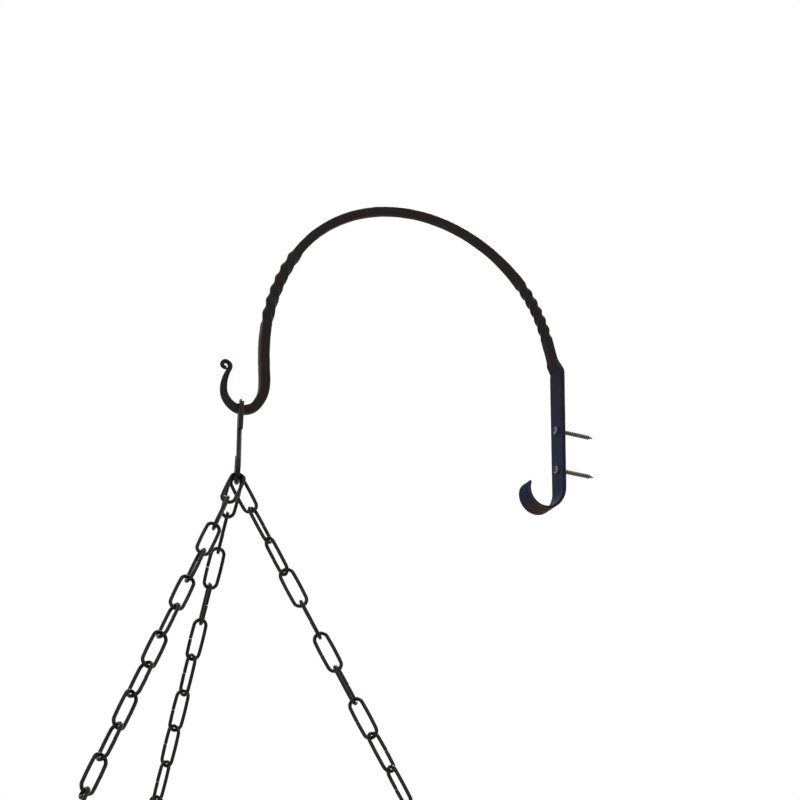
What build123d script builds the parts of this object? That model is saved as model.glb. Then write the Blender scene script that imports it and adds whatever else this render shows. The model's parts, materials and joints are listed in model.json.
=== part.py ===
from build123d import *
import math
import os

os.makedirs("parts", exist_ok=True)

# Millimetres, Z up. The origin is on the wall face, midway between the two screws.
# The wall is the plane Y = 0 and the bracket reaches out from it along -Y.

# wall strip: the bar's end flattened against the post
strip_width = 24.5
strip_top = 92.0
strip_bottom = -45.0
strip_top_thickness = 5.0
strip_bottom_thickness = 4.0
strip_edge_ease = 0.5

# curl at the strip's lower end, first away from the wall and then up
curl_start_radius = 30.0
curl_start_turn = 60.0
curl_radius = 19.5
curl_end_turn = 211.0
curl_middle_thickness = 3.1
curl_tip_thickness = 1.6
curl_tip_round = 5.0
groove_count = 4
groove_pitch = 4.8
groove_cutter_radius = 1.2
groove_cutter_sides = 4
groove_depth = 0.6
groove_start_turn = 24.0
groove_run_out = 4.0

# wood screws
screw_spacing = 45.4
screw_hole_diameter = 5.4
screw_neck_diameter = 4.6
screw_thread_diameter = 5.0
screw_thread_length = 34.0
screw_point_length = 6.0
screw_point_diameter = 1.0
screw_head_diameter = 10.0
screw_head_height = 3.0
screw_head_rim = 0.8
screw_seat_gap = 0.03
recess_length = 5.0
recess_width = 1.1
recess_depth = 1.5
recess_turn = 20.0

# square bar of the arm, its corners broken by the hammer
bar_size = 10.0
bar_corner_share = 0.17
eye_corner_share = 0.29

# centreline of the arm: headings in degrees from straight up towards the room
arm_start_out = 7.0
arm_start_height = 100.0
arm_start_heading = 16.0
arm_rise = 31.0
wall_bend_radius = 147.0
wall_bend_heading = 41.0
arch_radius = 164.0
arch_heading = 149.0
drop_radius = 224.0
drop_heading = 184.0
drop_length = 25.0
hook_entry_radius = 43.5
hook_entry_heading = 147.5
hook_radius = 19.5
hook_heading = 4.0
hook_return_radius = 42.0
hook_return_heading = -22.0
neck_length = 6.0
eye_radii = (4.8, 4.2, 3.5)
eye_headings = (68.0, 158.0, 262.0)

# twists of the bar, each one and a half turns, easing in and out
twist_turn = 540.0
twist_ease_share = 0.8
twist_steps = 60
wall_twist_start = 35.0
wall_twist_length = 80.0
hook_twist_start = 400.0
hook_twist_length = 97.0
ease_search_steps = 40

# thickness of the bar along the drawn-out hook, from the drop to the scroll's tip
hook_way_shares = (0.0, 0.36, 0.52, 0.66, 0.83, 1.0)
hook_sizes = (10.0, 9.1, 7.7, 6.8, 4.8, 3.0)
hook_step = 5.0
eye_step = 2.0

# S-hook of round wire
s_hook_wire = 5.0
s_hook_bend_radius = 13.0
s_hook_play = 0.6
s_hook_length = 84.6
s_hook_upper_leg = 14.6
s_hook_lower_leg = 13.5
s_hook_turn = 10.0
s_hook_sides = 10

# chain links, bent from round wire with a butt joint halfway down one leg
link_wire = 3.5
link_width = 16.8
link_length = 43.5
link_play = 0.5
link_gap = 0.5
link_count = 11
wire_sides = 8
bend_pieces = 4

# the hook at each chain's end
end_eye_radius = 4.6
end_eye_close_turn = 20.0
end_stem = 24.0
end_hook_radius = 8.0
end_hook_open_turn = 20.0
end_eye_pieces = 6
end_hook_pieces = 4

# the three chains: compass direction from +X towards +Y, splay from straight down, place
# along the S-hook's lower bend, and the roll of each link about the chain's line
right_chain_heading = 65.0
right_chain_splay = 29.0
right_chain_place = 0.0
right_link_rolls = (-90.0, 30.0, -30.0, -90.0, 5.0, -85.0, 20.0, -70.0, 50.0, -30.0, 75.0)
middle_chain_heading = 182.0
middle_chain_splay = 29.0
middle_chain_place = -7.3
middle_link_rolls = (0.0, -70.0, 10.0, -80.0, -5.0, 75.0, -10.0, 60.0, -35.0, 45.0, -40.0)
left_chain_heading = -57.0
left_chain_splay = 28.0
left_chain_place = 6.4
left_link_rolls = (-40.0, 45.0, -55.0, 25.0, -55.0, 15.0, -65.0, 0.0, -80.0, 10.0, -75.0)
end_hook_roll = 90.0

# headings closer than this are one straight line
straight_turn = 0.001
quarter_turn = 90.0
half_turn = 180.0

side_plane = Plane(origin=(0, 0, 0), x_dir=(0, -1, 0), z_dir=(-1, 0, 0))
front_plane = Plane(origin=(0, 0, 0), x_dir=(1, 0, 0), z_dir=(0, -1, 0))


def lean(degrees):
    """Outward and upward shares of a step along a heading."""
    angle = math.radians(degrees)
    return math.sin(angle), math.cos(angle)


# centreline of the arm, as stretches of a length and the heading that each ends on
def bend_length(radius, start_heading, end_heading):
    return radius * math.radians(abs(end_heading - start_heading))


arm_stretches = [(arm_rise, arm_start_heading)]
arm_bends = [
    (wall_bend_radius, wall_bend_heading),
    (arch_radius, arch_heading),
    (drop_radius, drop_heading),
    (0.0, drop_length),
    (hook_entry_radius, hook_entry_heading),
    (hook_radius, hook_heading),
    (hook_return_radius, hook_return_heading),
    (0.0, neck_length),
]
arm_bends.extend(zip(eye_radii, eye_headings))
heading = arm_start_heading
for radius, value in arm_bends:
    if radius == 0.0:
        arm_stretches.append((value, heading))
    else:
        arm_stretches.append((bend_length(radius, heading, value), value))
        heading = value
arm_length = sum(length for length, end_heading in arm_stretches)
drop_end = sum(length for length, end_heading in arm_stretches[:5])
neck_end = sum(length for length, end_heading in arm_stretches[:9])


def arm_point(station):
    """Outward distance, height and heading of the centreline at a length along it."""
    out, height = arm_start_out, arm_start_height
    heading = arm_start_heading
    left = station
    for length, end_heading in arm_stretches:
        way = min(left, length)
        turn = math.radians(end_heading - heading) * way / length
        start_sine, start_cosine = lean(heading)
        if turn == 0.0:
            out += way * start_sine
            height += way * start_cosine
        else:
            radius = way / turn
            heading_now = heading + math.degrees(turn)
            sine, cosine = lean(heading_now)
            out += radius * (start_cosine - cosine)
            height += radius * (sine - start_sine)
            heading = heading_now
        left -= way
        if left <= 0.0:
            break
    return out, height, heading


def arm_plane(station, turn=0.0):
    """The plane across the bar at a station, turned about the bar's own line."""
    out, height, heading = arm_point(station)
    sine, cosine = lean(heading)
    across = math.radians(turn)
    side = Vector(1, 0, 0) * math.cos(across)
    rise = Vector(0, cosine, sine) * math.sin(across)
    return Plane(origin=(0, -out, height), x_dir=side + rise, z_dir=(0, -sine, cosine))


def bar_outline(width, depth, corner):
    """Corner points of a rectangle with its four corners broken."""
    half_width = width / 2
    half_depth = depth / 2
    return [
        (half_width, corner - half_depth),
        (half_width, half_depth - corner),
        (half_width - corner, half_depth),
        (corner - half_width, half_depth),
        (-half_width, half_depth - corner),
        (-half_width, corner - half_depth),
        (corner - half_width, -half_depth),
        (half_width - corner, -half_depth),
    ]


def bar_section(plane, size, corner_share):
    """One section of the bar as a sketch on a plane across it."""
    with BuildSketch(plane, mode=Mode.PRIVATE) as section:
        Polygon(*bar_outline(size, size, size * corner_share), align=None)
    return section.sketch


def twist_way(turned):
    """How far along a twist the given share of its turn is reached."""
    low, high = 0.0, 1.0
    for step in range(ease_search_steps):
        middle = (low + high) / 2
        full = 2 * math.pi
        if middle - twist_ease_share * math.sin(full * middle) / full < turned:
            low = middle
        else:
            high = middle
    return (low + high) / 2


def twist_sections(start, length, turn):
    sections = []
    for step in range(twist_steps + 1):
        turned = step / twist_steps
        plane = arm_plane(start + length * twist_way(turned), turn * turned)
        sections.append(bar_section(plane, bar_size, bar_corner_share))
    return sections


def hook_size(station):
    """Thickness of the bar on the hook, by straight runs between the listed sizes."""
    way = (station - drop_end) / (arm_length - drop_end)
    for index in range(1, len(hook_sizes)):
        if way <= hook_way_shares[index] or index == len(hook_sizes) - 1:
            before = hook_way_shares[index - 1]
            share = (way - before) / (hook_way_shares[index] - before)
            return hook_sizes[index - 1] + share * (hook_sizes[index] - hook_sizes[index - 1])


def hook_corner_share(station):
    """How much of the bar's thickness its broken corners take on the hook."""
    way = (station - drop_end) / (arm_length - drop_end)
    return bar_corner_share + way * (eye_corner_share - bar_corner_share)


def hook_sections(start, end, step):
    sections = []
    steps = math.ceil((end - start) / step)
    for index in range(steps + 1):
        station = start + (end - start) * index / steps
        corner_share = hook_corner_share(station)
        sections.append(bar_section(arm_plane(station), hook_size(station), corner_share))
    return sections


def arm_line(start, end):
    """Centreline edges between two stations, one arc or line for each stretch passed."""
    marks = [start]
    reached = 0.0
    for length, end_heading in arm_stretches:
        reached += length
        if start < reached < end:
            marks.append(reached)
    marks.append(end)
    for first, last in zip(marks[:-1], marks[1:]):
        out_a, height_a, heading_a = arm_point(first)
        out_b, height_b, heading_b = arm_point((first + last) / 2)
        out_c, height_c, heading_c = arm_point(last)
        if abs(heading_c - heading_a) < straight_turn:
            Line((out_a, height_a), (out_c, height_c))
        else:
            ThreePointArc((out_a, height_a), (out_b, height_b), (out_c, height_c))


# bracket: strip and curl first, then the arm, twist by twist, to the scroll eye
curl_start_centre = (curl_start_radius, strip_bottom)
curl_start_sine, curl_start_cosine = lean(curl_start_turn)
curl_centre = (
    curl_start_radius - (curl_start_radius - curl_radius) * curl_start_cosine,
    strip_bottom - (curl_start_radius - curl_radius) * curl_start_sine,
)


def curl_point(turn, depth):
    """A point of the curl's section, a depth inside its outer face."""
    sine, cosine = lean(turn)
    radius = curl_radius - depth
    return curl_centre[0] - radius * cosine, curl_centre[1] - radius * sine


def curl_start_point(turn, depth):
    """A point on the curl's first and wider bend, a depth inside its outer face."""
    sine, cosine = lean(turn)
    radius = curl_start_radius - depth
    return curl_start_centre[0] - radius * cosine, curl_start_centre[1] - radius * sine


curl_middle_turn = (curl_start_turn + curl_end_turn) / 2
curl_tip_inner = curl_point(curl_end_turn, curl_tip_thickness)
curl_tip_outer = curl_point(curl_end_turn, 0)
curl_half_thickness = (curl_middle_thickness + curl_tip_thickness) / 2
wall_twist_end = wall_twist_start + wall_twist_length
hook_twist_end = hook_twist_start + hook_twist_length

with BuildPart() as bracket:
    with BuildSketch(side_plane):
        with BuildLine():
            Line((0, strip_top), (0, strip_bottom))
            ThreePointArc(
                (0, strip_bottom),
                curl_start_point(curl_start_turn / 2, 0),
                curl_start_point(curl_start_turn, 0),
            )
            ThreePointArc(
                curl_point(curl_start_turn, 0),
                curl_point(curl_middle_turn, 0),
                curl_tip_outer,
            )
            Line(curl_tip_outer, curl_tip_inner)
            ThreePointArc(
                curl_tip_inner,
                curl_point(curl_middle_turn, curl_half_thickness),
                curl_point(curl_start_turn, curl_middle_thickness),
            )
            TangentArc(
                (strip_bottom_thickness, strip_bottom),
                curl_point(curl_start_turn, curl_middle_thickness),
                tangent=(0, -1),
            )
            Line((strip_bottom_thickness, strip_bottom), (strip_top_thickness, strip_top))
            Line((strip_top_thickness, strip_top), (0, strip_top))
        make_face()
    extrude(amount=strip_width / 2, both=True)
    tip_edges = bracket.edges().sort_by(Edge.length)[:2]
    fillet(tip_edges, curl_tip_round)

    # lengthwise grooves hammered into the outside of the curl
    for index in range(groove_count):
        across = (index - (groove_count - 1) / 2) * groove_pitch
        groove_side = Plane(origin=(across, 0, 0), x_dir=(0, -1, 0), z_dir=(-1, 0, 0))
        sunk = groove_depth - groove_cutter_radius
        with BuildLine(groove_side) as groove_line:
            ThreePointArc(
                curl_start_point(groove_start_turn, sunk),
                curl_start_point((groove_start_turn + curl_start_turn) / 2, sunk),
                curl_start_point(curl_start_turn, sunk),
            )
            ThreePointArc(
                curl_point(curl_start_turn, sunk),
                curl_point(curl_middle_turn, sunk),
                curl_point(curl_end_turn + groove_run_out, sunk),
            )
        with BuildSketch(Plane(groove_line.line ^ 0)):
            RegularPolygon(groove_cutter_radius, groove_cutter_sides)
        sweep(path=groove_line.line, mode=Mode.SUBTRACT)

    # shoulder from the strip to the bar
    foot_plane = Plane(
        origin=(0, -strip_top_thickness / 2, strip_top), x_dir=(1, 0, 0), z_dir=(0, 0, 1)
    )
    with BuildSketch(foot_plane, mode=Mode.PRIVATE) as shoulder_foot:
        Polygon(*bar_outline(strip_width, strip_top_thickness, strip_edge_ease), align=None)
    loft(sections=[shoulder_foot.sketch, bar_section(arm_plane(0.0), bar_size, bar_corner_share)])

    # plain rise, wall-side twist, arch, hook-side twist and drop
    for first, last in (
        (0.0, wall_twist_start),
        (wall_twist_end, hook_twist_start),
        (hook_twist_end, drop_end),
    ):
        with BuildLine(side_plane) as run:
            arm_line(first, last)
        sweep(sections=bar_section(arm_plane(first), bar_size, bar_corner_share), path=run.line)
    loft(sections=twist_sections(wall_twist_start, wall_twist_length, twist_turn))
    loft(sections=twist_sections(hook_twist_start, hook_twist_length, -twist_turn))

    # hook drawn out thin, and the scroll eye at its end
    loft(sections=hook_sections(drop_end, neck_end, hook_step))
    loft(sections=hook_sections(neck_end, arm_length, eye_step))

    # screw holes
    with BuildSketch(front_plane):
        with GridLocations(0, screw_spacing, 1, 2):
            Circle(screw_hole_diameter / 2)
    extrude(amount=strip_top_thickness, mode=Mode.SUBTRACT)

bracket.part.label = "bracket"
export_step(bracket.part, "parts/bracket.step")


# wood screws, their heads seated on the strip's sloping face
def strip_thickness(height):
    share = (height - strip_bottom) / (strip_top - strip_bottom)
    return strip_bottom_thickness + share * (strip_top_thickness - strip_bottom_thickness)


screw_radius = screw_head_diameter / 2
with BuildPart() as screws:
    for height in (screw_spacing / 2, -screw_spacing / 2):
        seat = strip_thickness(height + screw_radius) + screw_seat_gap
        screw_plane = Plane(origin=(0, 0, height), x_dir=(0, -1, 0), z_dir=(-1, 0, 0))
        with BuildSketch(screw_plane):
            with BuildLine():
                Polyline(
                    (seat + screw_head_height, 0),
                    (-screw_thread_length - screw_point_length, 0),
                    (-screw_thread_length - screw_point_length, screw_point_diameter / 2),
                    (-screw_thread_length, screw_thread_diameter / 2),
                    (0, screw_thread_diameter / 2),
                    (0, screw_neck_diameter / 2),
                    (seat, screw_neck_diameter / 2),
                    (seat, screw_radius),
                    (seat + screw_head_rim, screw_radius),
                )
                TangentArc(
                    (seat + screw_head_height, 0),
                    (seat + screw_head_rim, screw_radius),
                    tangent=(0, 1),
                )
            make_face()
        revolve(axis=Axis((0, 0, height), (0, 1, 0)))
        face_plane = Plane(
            origin=(0, -seat - screw_head_height, height), x_dir=(1, 0, 0), z_dir=(0, -1, 0)
        )
        with BuildSketch(face_plane):
            with Locations(Rotation(0, 0, recess_turn)):
                Rectangle(recess_length, recess_width)
                Rectangle(recess_width, recess_length)
        extrude(amount=-recess_depth, mode=Mode.SUBTRACT)
screws.part.label = "screws"
export_step(screws.part, "parts/screws.step")

# S-hook, hung where the bracket's hook is level at its lowest, its bend on the bar's two edges
entry_end = drop_end + bend_length(hook_entry_radius, drop_heading, hook_entry_heading)
low_station = entry_end + bend_length(hook_radius, hook_entry_heading, quarter_turn)
s_hook_out, hook_low, low_heading = arm_point(low_station)
seat_half = hook_size(low_station) * (1 - 2 * hook_corner_share(low_station)) / 2
s_hook_inside = s_hook_bend_radius - s_hook_wire / 2
crown_rise = s_hook_inside - math.sqrt(s_hook_inside ** 2 - seat_half ** 2)
s_hook_seat = hook_low + hook_size(low_station) / 2 + crown_rise
s_hook_top = s_hook_seat + s_hook_wire / 2 + s_hook_play
s_hook_bottom = s_hook_top - s_hook_length
turn_sine, turn_cosine = lean(s_hook_turn)
s_hook_plane = Plane(
    origin=(0, -s_hook_out, 0),
    x_dir=(turn_cosine, -turn_sine, 0),
    z_dir=(-turn_sine, -turn_cosine, 0),
)
upper_centre = s_hook_top - s_hook_bend_radius
lower_centre = s_hook_bottom + s_hook_bend_radius
shank_turn = math.asin(2 * s_hook_bend_radius / (upper_centre - lower_centre))
shank_side = s_hook_bend_radius * math.cos(shank_turn)
shank_drop = s_hook_bend_radius * math.sin(shank_turn)

with BuildPart() as s_hook:
    with BuildLine(s_hook_plane) as s_line:
        Line(
            (s_hook_bend_radius, upper_centre - s_hook_upper_leg),
            (s_hook_bend_radius, upper_centre),
        )
        ThreePointArc(
            (s_hook_bend_radius, upper_centre),
            (0, s_hook_top),
            (-shank_side, upper_centre - shank_drop),
        )
        Line((-shank_side, upper_centre - shank_drop), (shank_side, lower_centre + shank_drop))
        ThreePointArc(
            (shank_side, lower_centre + shank_drop),
            (0, s_hook_bottom),
            (-s_hook_bend_radius, lower_centre),
        )
        Line(
            (-s_hook_bend_radius, lower_centre),
            (-s_hook_bend_radius, lower_centre + s_hook_lower_leg),
        )
    with BuildSketch(Plane(s_line.line ^ 0)):
        RegularPolygon(s_hook_wire / 2, s_hook_sides, major_radius=False)
    sweep(path=s_line.line)
s_hook.part.label = "s_hook"
export_step(s_hook.part, "parts/s_hook.step")

# chains, every link a copy of one, seated in the link above with the same play
link_bend_radius = (link_width - link_wire) / 2
link_bend_height = (link_length - link_width) / 2
link_pitch = link_length - 2 * link_wire - link_play
first_seat = (s_hook_wire + link_wire) / 2 + link_play


def round_point(centre, radius, heading):
    """The point of a circle that lies at a heading from straight up."""
    sine, cosine = lean(heading)
    return centre[0] + radius * sine, centre[1] + radius * cosine


def bend_points(centre, radius, start, end, pieces):
    """Corners of a bend laid around a circle in equal straight pieces, start to end."""
    points = []
    half_piece = (end - start) / (2 * pieces)
    reach = radius / math.cos(math.radians(half_piece))
    for index in range(pieces):
        points.append(round_point(centre, reach, start + half_piece * (2 * index + 1)))
    return points


link_path = [(link_bend_radius, link_gap / 2)]
for height, start in ((link_bend_height, quarter_turn), (-link_bend_height, -quarter_turn)):
    link_path += bend_points(
        (0, height), link_bend_radius, start, start - half_turn, bend_pieces
    )
link_path += [(link_bend_radius, -link_gap / 2)]

with BuildPart() as master_link:
    with BuildLine() as link_line:
        Polyline(*link_path)
    with BuildSketch(Plane(link_line.line ^ 0)):
        RegularPolygon(link_wire / 2, wire_sides, major_radius=False)
    sweep(path=link_line.line, transition=Transition.RIGHT)

end_eye_centre = (0, -end_eye_radius)
end_hook_centre = (end_eye_radius - end_hook_radius, -end_eye_radius - end_stem)
end_eye_start = half_turn - end_eye_close_turn
end_hook_end = quarter_turn + half_turn - end_hook_open_turn
end_eye_end = 2 * half_turn + quarter_turn
hook_path = [round_point(end_eye_centre, end_eye_radius, end_eye_start)]
hook_path += bend_points(
    end_eye_centre, end_eye_radius, end_eye_start, end_eye_end, end_eye_pieces
)
hook_path += bend_points(
    end_hook_centre, end_hook_radius, quarter_turn, end_hook_end, end_hook_pieces
)
hook_path += [round_point(end_hook_centre, end_hook_radius, end_hook_end)]

with BuildPart() as master_hook:
    with BuildLine() as hook_line:
        Polyline(*hook_path)
    with BuildSketch(Plane(hook_line.line ^ 0)):
        RegularPolygon(link_wire / 2, wire_sides, major_radius=False)
    sweep(path=hook_line.line, transition=Transition.RIGHT)


def chain_frame(heading, splay, place):
    """Where a chain hangs on the S-hook's lower bend, its line and its level sideways."""
    rise = s_hook_bend_radius - math.sqrt(s_hook_bend_radius ** 2 - place ** 2)
    start = s_hook_plane.from_local_coords((place, s_hook_bottom + rise))
    compass = math.radians(heading)
    sine, cosine = lean(splay)
    line = Vector(sine * math.cos(compass), sine * math.sin(compass), -cosine)
    side = Vector(-math.sin(compass), math.cos(compass), 0)
    return start, line, side


def hang(name, master, start, line, side, distance, roll):
    """A copy of a chain piece, its own origin at a distance down the chain's line."""
    turn = math.radians(roll)
    width = side * math.cos(turn) + line.cross(side) * math.sin(turn)
    place = Plane(origin=start + line * distance, x_dir=width, z_dir=width.cross(-line))
    with BuildPart() as piece:
        add(master.part.moved(place.location))
    piece.part.label = name
    export_step(piece.part, "parts/" + name + ".step")
    return piece


chains = (
    ("right", right_chain_heading, right_chain_splay, right_chain_place, right_link_rolls),
    ("middle", middle_chain_heading, middle_chain_splay, middle_chain_place, middle_link_rolls),
    ("left", left_chain_heading, left_chain_splay, left_chain_place, left_link_rolls),
)
for chain, heading, splay, place, rolls in chains:
    start, line, side = chain_frame(heading, splay, place)
    centre = link_length / 2 - link_wire / 2 - first_seat
    for number in range(1, link_count + 1):
        name = chain + "_link_" + str(number).zfill(2)
        hang(name, master_link, start, line, side, centre, rolls[number - 1])
        centre += link_pitch
    last_seat = centre - link_length / 2 + link_wire / 2
    hang(chain + "_end_hook", master_hook, start, line, side, last_seat,
         rolls[link_count - 1] + end_hook_roll)
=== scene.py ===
"""Dresses the forged wall bracket, its S-hook and three chains, and sets the studio."""

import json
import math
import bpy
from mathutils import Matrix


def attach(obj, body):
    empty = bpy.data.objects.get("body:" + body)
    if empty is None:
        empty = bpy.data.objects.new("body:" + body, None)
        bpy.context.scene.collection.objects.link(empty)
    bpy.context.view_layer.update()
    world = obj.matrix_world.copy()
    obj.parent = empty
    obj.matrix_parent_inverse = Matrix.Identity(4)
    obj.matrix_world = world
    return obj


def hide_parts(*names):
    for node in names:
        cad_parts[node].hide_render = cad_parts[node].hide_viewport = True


bl_info = {
    "name": "Forged Plant Bracket",
    "version": (1, 0, 0),
    "blender": (4, 5, 0),
    "location": "3D View > Sidebar > Plant Bracket",
    "description": "Hammered bar, bent wire and screw heads on a packed plant bracket",
    "category": "Add Mesh",
}

from collections import namedtuple

import bmesh
import bpy
from bpy.props import FloatProperty, FloatVectorProperty, IntProperty, PointerProperty
from mathutils import Matrix, Vector, noise

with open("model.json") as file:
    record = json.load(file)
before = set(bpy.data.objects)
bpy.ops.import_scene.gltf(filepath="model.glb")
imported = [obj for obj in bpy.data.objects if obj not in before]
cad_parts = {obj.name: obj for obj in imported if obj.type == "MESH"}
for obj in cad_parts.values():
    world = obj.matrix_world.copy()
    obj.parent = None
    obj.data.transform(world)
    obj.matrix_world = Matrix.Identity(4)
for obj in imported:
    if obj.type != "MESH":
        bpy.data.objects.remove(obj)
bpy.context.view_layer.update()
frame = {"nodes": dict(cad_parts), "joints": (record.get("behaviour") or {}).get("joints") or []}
joints = {joint["name"]: joint for joint in frame["joints"]}


def linear_colour(code):
    """An sRGB hex colour as the linear values that Blender's sockets take."""
    values = []
    for start in (1, 3, 5):
        value = int(code[start:start + 2], 16) / 255
        values.append(value / 12.92 if value <= 0.04045 else ((value + 0.055) / 1.055) ** 2.4)
    return tuple(values)


def length(name, description, default):
    """A setting in metres."""
    return FloatProperty(name=name, description=description, default=default, unit="LENGTH",
                         precision=5, min=0.0)


def degrees(name, description, default):
    """A setting in degrees."""
    return FloatProperty(name=name, description=description, default=math.radians(default),
                         subtype="ANGLE")


def colour(name, description, code):
    """A setting for a finish, from its hex colour."""
    return FloatVectorProperty(name=name, description=description, default=linear_colour(code),
                               subtype="COLOR", min=0.0, max=1.0)


class ForgingSettings(bpy.types.PropertyGroup):
    """Sizes of the hammered bar and its strip"""

    bar: length("Bar", "Side of the square bar", 0.010)
    bar_corner: length("Bar corner", "Radius that the hammer leaves on the bar's corners", 0.0015)
    arch_corner: length("Arch corner", "Corner radius where the arch is worn round", 0.0034)
    strip_width: length("Strip width", "Width of the flattened strip and its curl", 0.0245)
    strip_foot: length("Strip foot", "Thickness of the strip where the curl starts", 0.0040)
    strip_head: length("Strip head", "Thickness of the strip under the shoulder", 0.0050)
    strip_corner: length("Strip corner", "Radius on the strip's long edges", 0.0009)
    curl_middle: length("Curl middle", "Thickness of the curl at its lowest point", 0.0031)
    curl_tip: length("Curl tip", "Thickness at the curl's end", 0.0016)
    groove_depth: length("Groove depth", "Depth of the grooves on the curl's outside", 0.0008)
    groove_pitch: length("Groove pitch", "Distance between the grooves", 0.0048)
    groove_width: length("Groove width", "Width of one groove", 0.0022)
    hammer_depth: length("Hammer depth", "Depth of the hammer's dents", 0.00022)
    hammer_size: length("Hammer size", "Size of one hammer dent", 0.009)
    hole: length("Screw hole", "Diameter of the screw holes", 0.0054)


class WireSettings(bpy.types.PropertyGroup):
    """Sizes of the S-hook, the links and the end hooks"""

    s_wire: length("S-hook wire", "Diameter of the S-hook's wire", 0.005)
    s_bend: length("S-hook bend", "Radius of the S-hook's bends at the wire's middle", 0.013)
    s_span: length("S-hook span", "Distance between the middles of the two bends", 0.0586)
    s_upper_leg: length("Upper leg", "Straight length of the upper free end", 0.0212)
    s_lower_leg: length("Lower leg", "Straight length of the lower free end", 0.0190)
    s_slip: degrees("S-hook slip", "How far the S-hook has slipped round the bar", 7.5)
    link_wire: length("Link wire", "Diameter of the chain's wire", 0.0035)
    link_length: length("Link length", "Length of a link over its ends", 0.0435)
    link_width: length("Link width", "Width of a link over its legs", 0.0168)
    link_bow: length("Link bow", "How far a link's legs bow out", 0.0003)
    link_gap: length("Butt gap", "Gap of the butt joint in a link's leg", 0.0005)
    joint_step: length("Butt step", "How far the two ends of a butt joint miss each other", 0.0003)
    eye_bend: length("Eye bend", "Radius of the end hook's eye at the wire's middle", 0.0046)
    stem: length("Stem", "Straight length between the end hook's eye and bend", 0.024)
    hook_bend: length("Hook bend", "Radius of the end hook's bend at the wire's middle", 0.008)
    play: length("Play", "Gap between an end hook's eye and the last link's wire", 0.0005)
    s_edge: length("S-hook's cut edge", "How far its cut ends are broken", 0.0003)
    edge: length("Cut edge", "How far a link's or an end hook's cut ends are broken", 0.00025)
    sides: IntProperty(name="Wire sides", description="Points around a wire", default=20, min=8)
    s_sides: IntProperty(name="S-hook sides", description="Points around the S-hook's wire",
                         default=28, min=8)


class ScrewSettings(bpy.types.PropertyGroup):
    """Sizes of the wood screws"""

    head: length("Head", "Diameter of the domed head", 0.010)
    dome: length("Dome", "Height of the head", 0.0030)
    rim: length("Rim", "Height of the head's straight rim", 0.0007)
    shank: length("Shank", "Diameter of the thread", 0.005)
    core: length("Core", "Diameter of the thread's core", 0.0036)
    neck: length("Neck", "Diameter of the plain neck in the strip's hole", 0.0046)
    head_gap: length("Head gap", "Gap between a head's rim and the strip", 0.00003)
    thread_pitch: length("Thread pitch", "Distance between two turns of the thread", 0.0022)
    thread_length: length("Thread length", "Length of the thread behind the wall's face", 0.034)
    point: length("Point", "Length of the gimlet point", 0.006)
    tip: length("Tip", "Diameter of the gimlet point's blunt end", 0.0008)
    slot_length: length("Recess length", "Length of one arm pair of the cross recess", 0.0052)
    slot_width: length("Recess width", "Width of the recess's arms", 0.0012)
    slot_depth: length("Recess depth", "Depth of the cross recess", 0.0015)


class FinishSettings(bpy.types.PropertyGroup):
    """Colours of the finishes"""

    iron: colour("Iron", "Brown-black of the waxed bar", "#292524")
    iron_rub: colour("Rubbed iron", "Bare metal where the bar's scale is rubbed", "#4a423b")
    # the strip's navy and its lighter blue are a painted blue sky reflection on black
    painted_sky_navy: colour("Blued strip", "Blue-black of the strip and the curl", "#201e2e")
    painted_sky_light: colour("Light blue", "Lighter steel blue inside the curl", "#222f4e")
    # painted warm ground light on the curl's underside
    painted_ground_brown: colour("Browned curl", "Brown-grey scale under the curl", "#38302a")
    wire: colour("Wire", "Black lacquer of the wire", "#100e0d")
    wire_rub: colour("Rubbed wire", "Grey where links rub each other", "#3b3531")
    screw: colour("Screw", "Grey paint of the screw heads", "#8f887e")
    plating: colour("Plating", "Dull zinc on the screws' threads", "#77746f")
    # painted shade: in the screws' recess, as a shadow round their rims, and in the curl's grooves
    recess: colour("Recess", "Dirt in the screws' recess", "#1c1816")
    floor: colour("Floor", "Pale floor", "#eeedea")


class StudioSettings(bpy.types.PropertyGroup):
    """Camera and lamps"""

    aim: FloatVectorProperty(name="Aim", description="Point at the middle of the picture",
                             default=(0.0966, -0.2347, -0.0298), subtype="TRANSLATION")
    distance: length("Distance", "From the camera to the aim", 1.9584)
    azimuth: degrees("Azimuth", "Direction of the camera round the object", 65.0)
    elevation: degrees("Elevation", "Height of the camera as an angle", -24.6)
    roll: degrees("Roll", "Tilt of the picture", 1.25)
    lens: FloatProperty(name="Lens", description="Focal length in millimetres", default=90.45,
                        unit="CAMERA")
    floor_height: FloatProperty(name="Floor height", description="Height of the floor",
                                default=-1.0, unit="LENGTH")
    key: FloatProperty(name="Key", description="Power of the lamp above", default=52.0,
                       unit="POWER")
    fill: FloatProperty(name="Fill", description="Power of the lamp beside the camera",
                        default=9.0, unit="POWER")
    around: FloatProperty(name="Surroundings", description="Strength of the light all round",
                          default=0.55)


def settings():
    """All settings of the bracket, as one record."""
    return bpy.context.scene.plant_bracket


def add_object(name, data):
    """Puts a mesh, a lamp or a camera in the scene."""
    item = bpy.data.objects.new(name, data)
    bpy.context.scene.collection.objects.link(item)
    return item


def axes_at(origin, right, up, back):
    """Where an object goes, from its origin and the directions of its three axes."""
    return Matrix.Translation(origin) @ Matrix((right, up, back)).transposed().to_4x4()


def dress(piece, body, nodes):
    """Says which body a piece rides on, which CAD nodes it stands for."""
    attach(piece, body)
    if nodes:
        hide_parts(*nodes)


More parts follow.
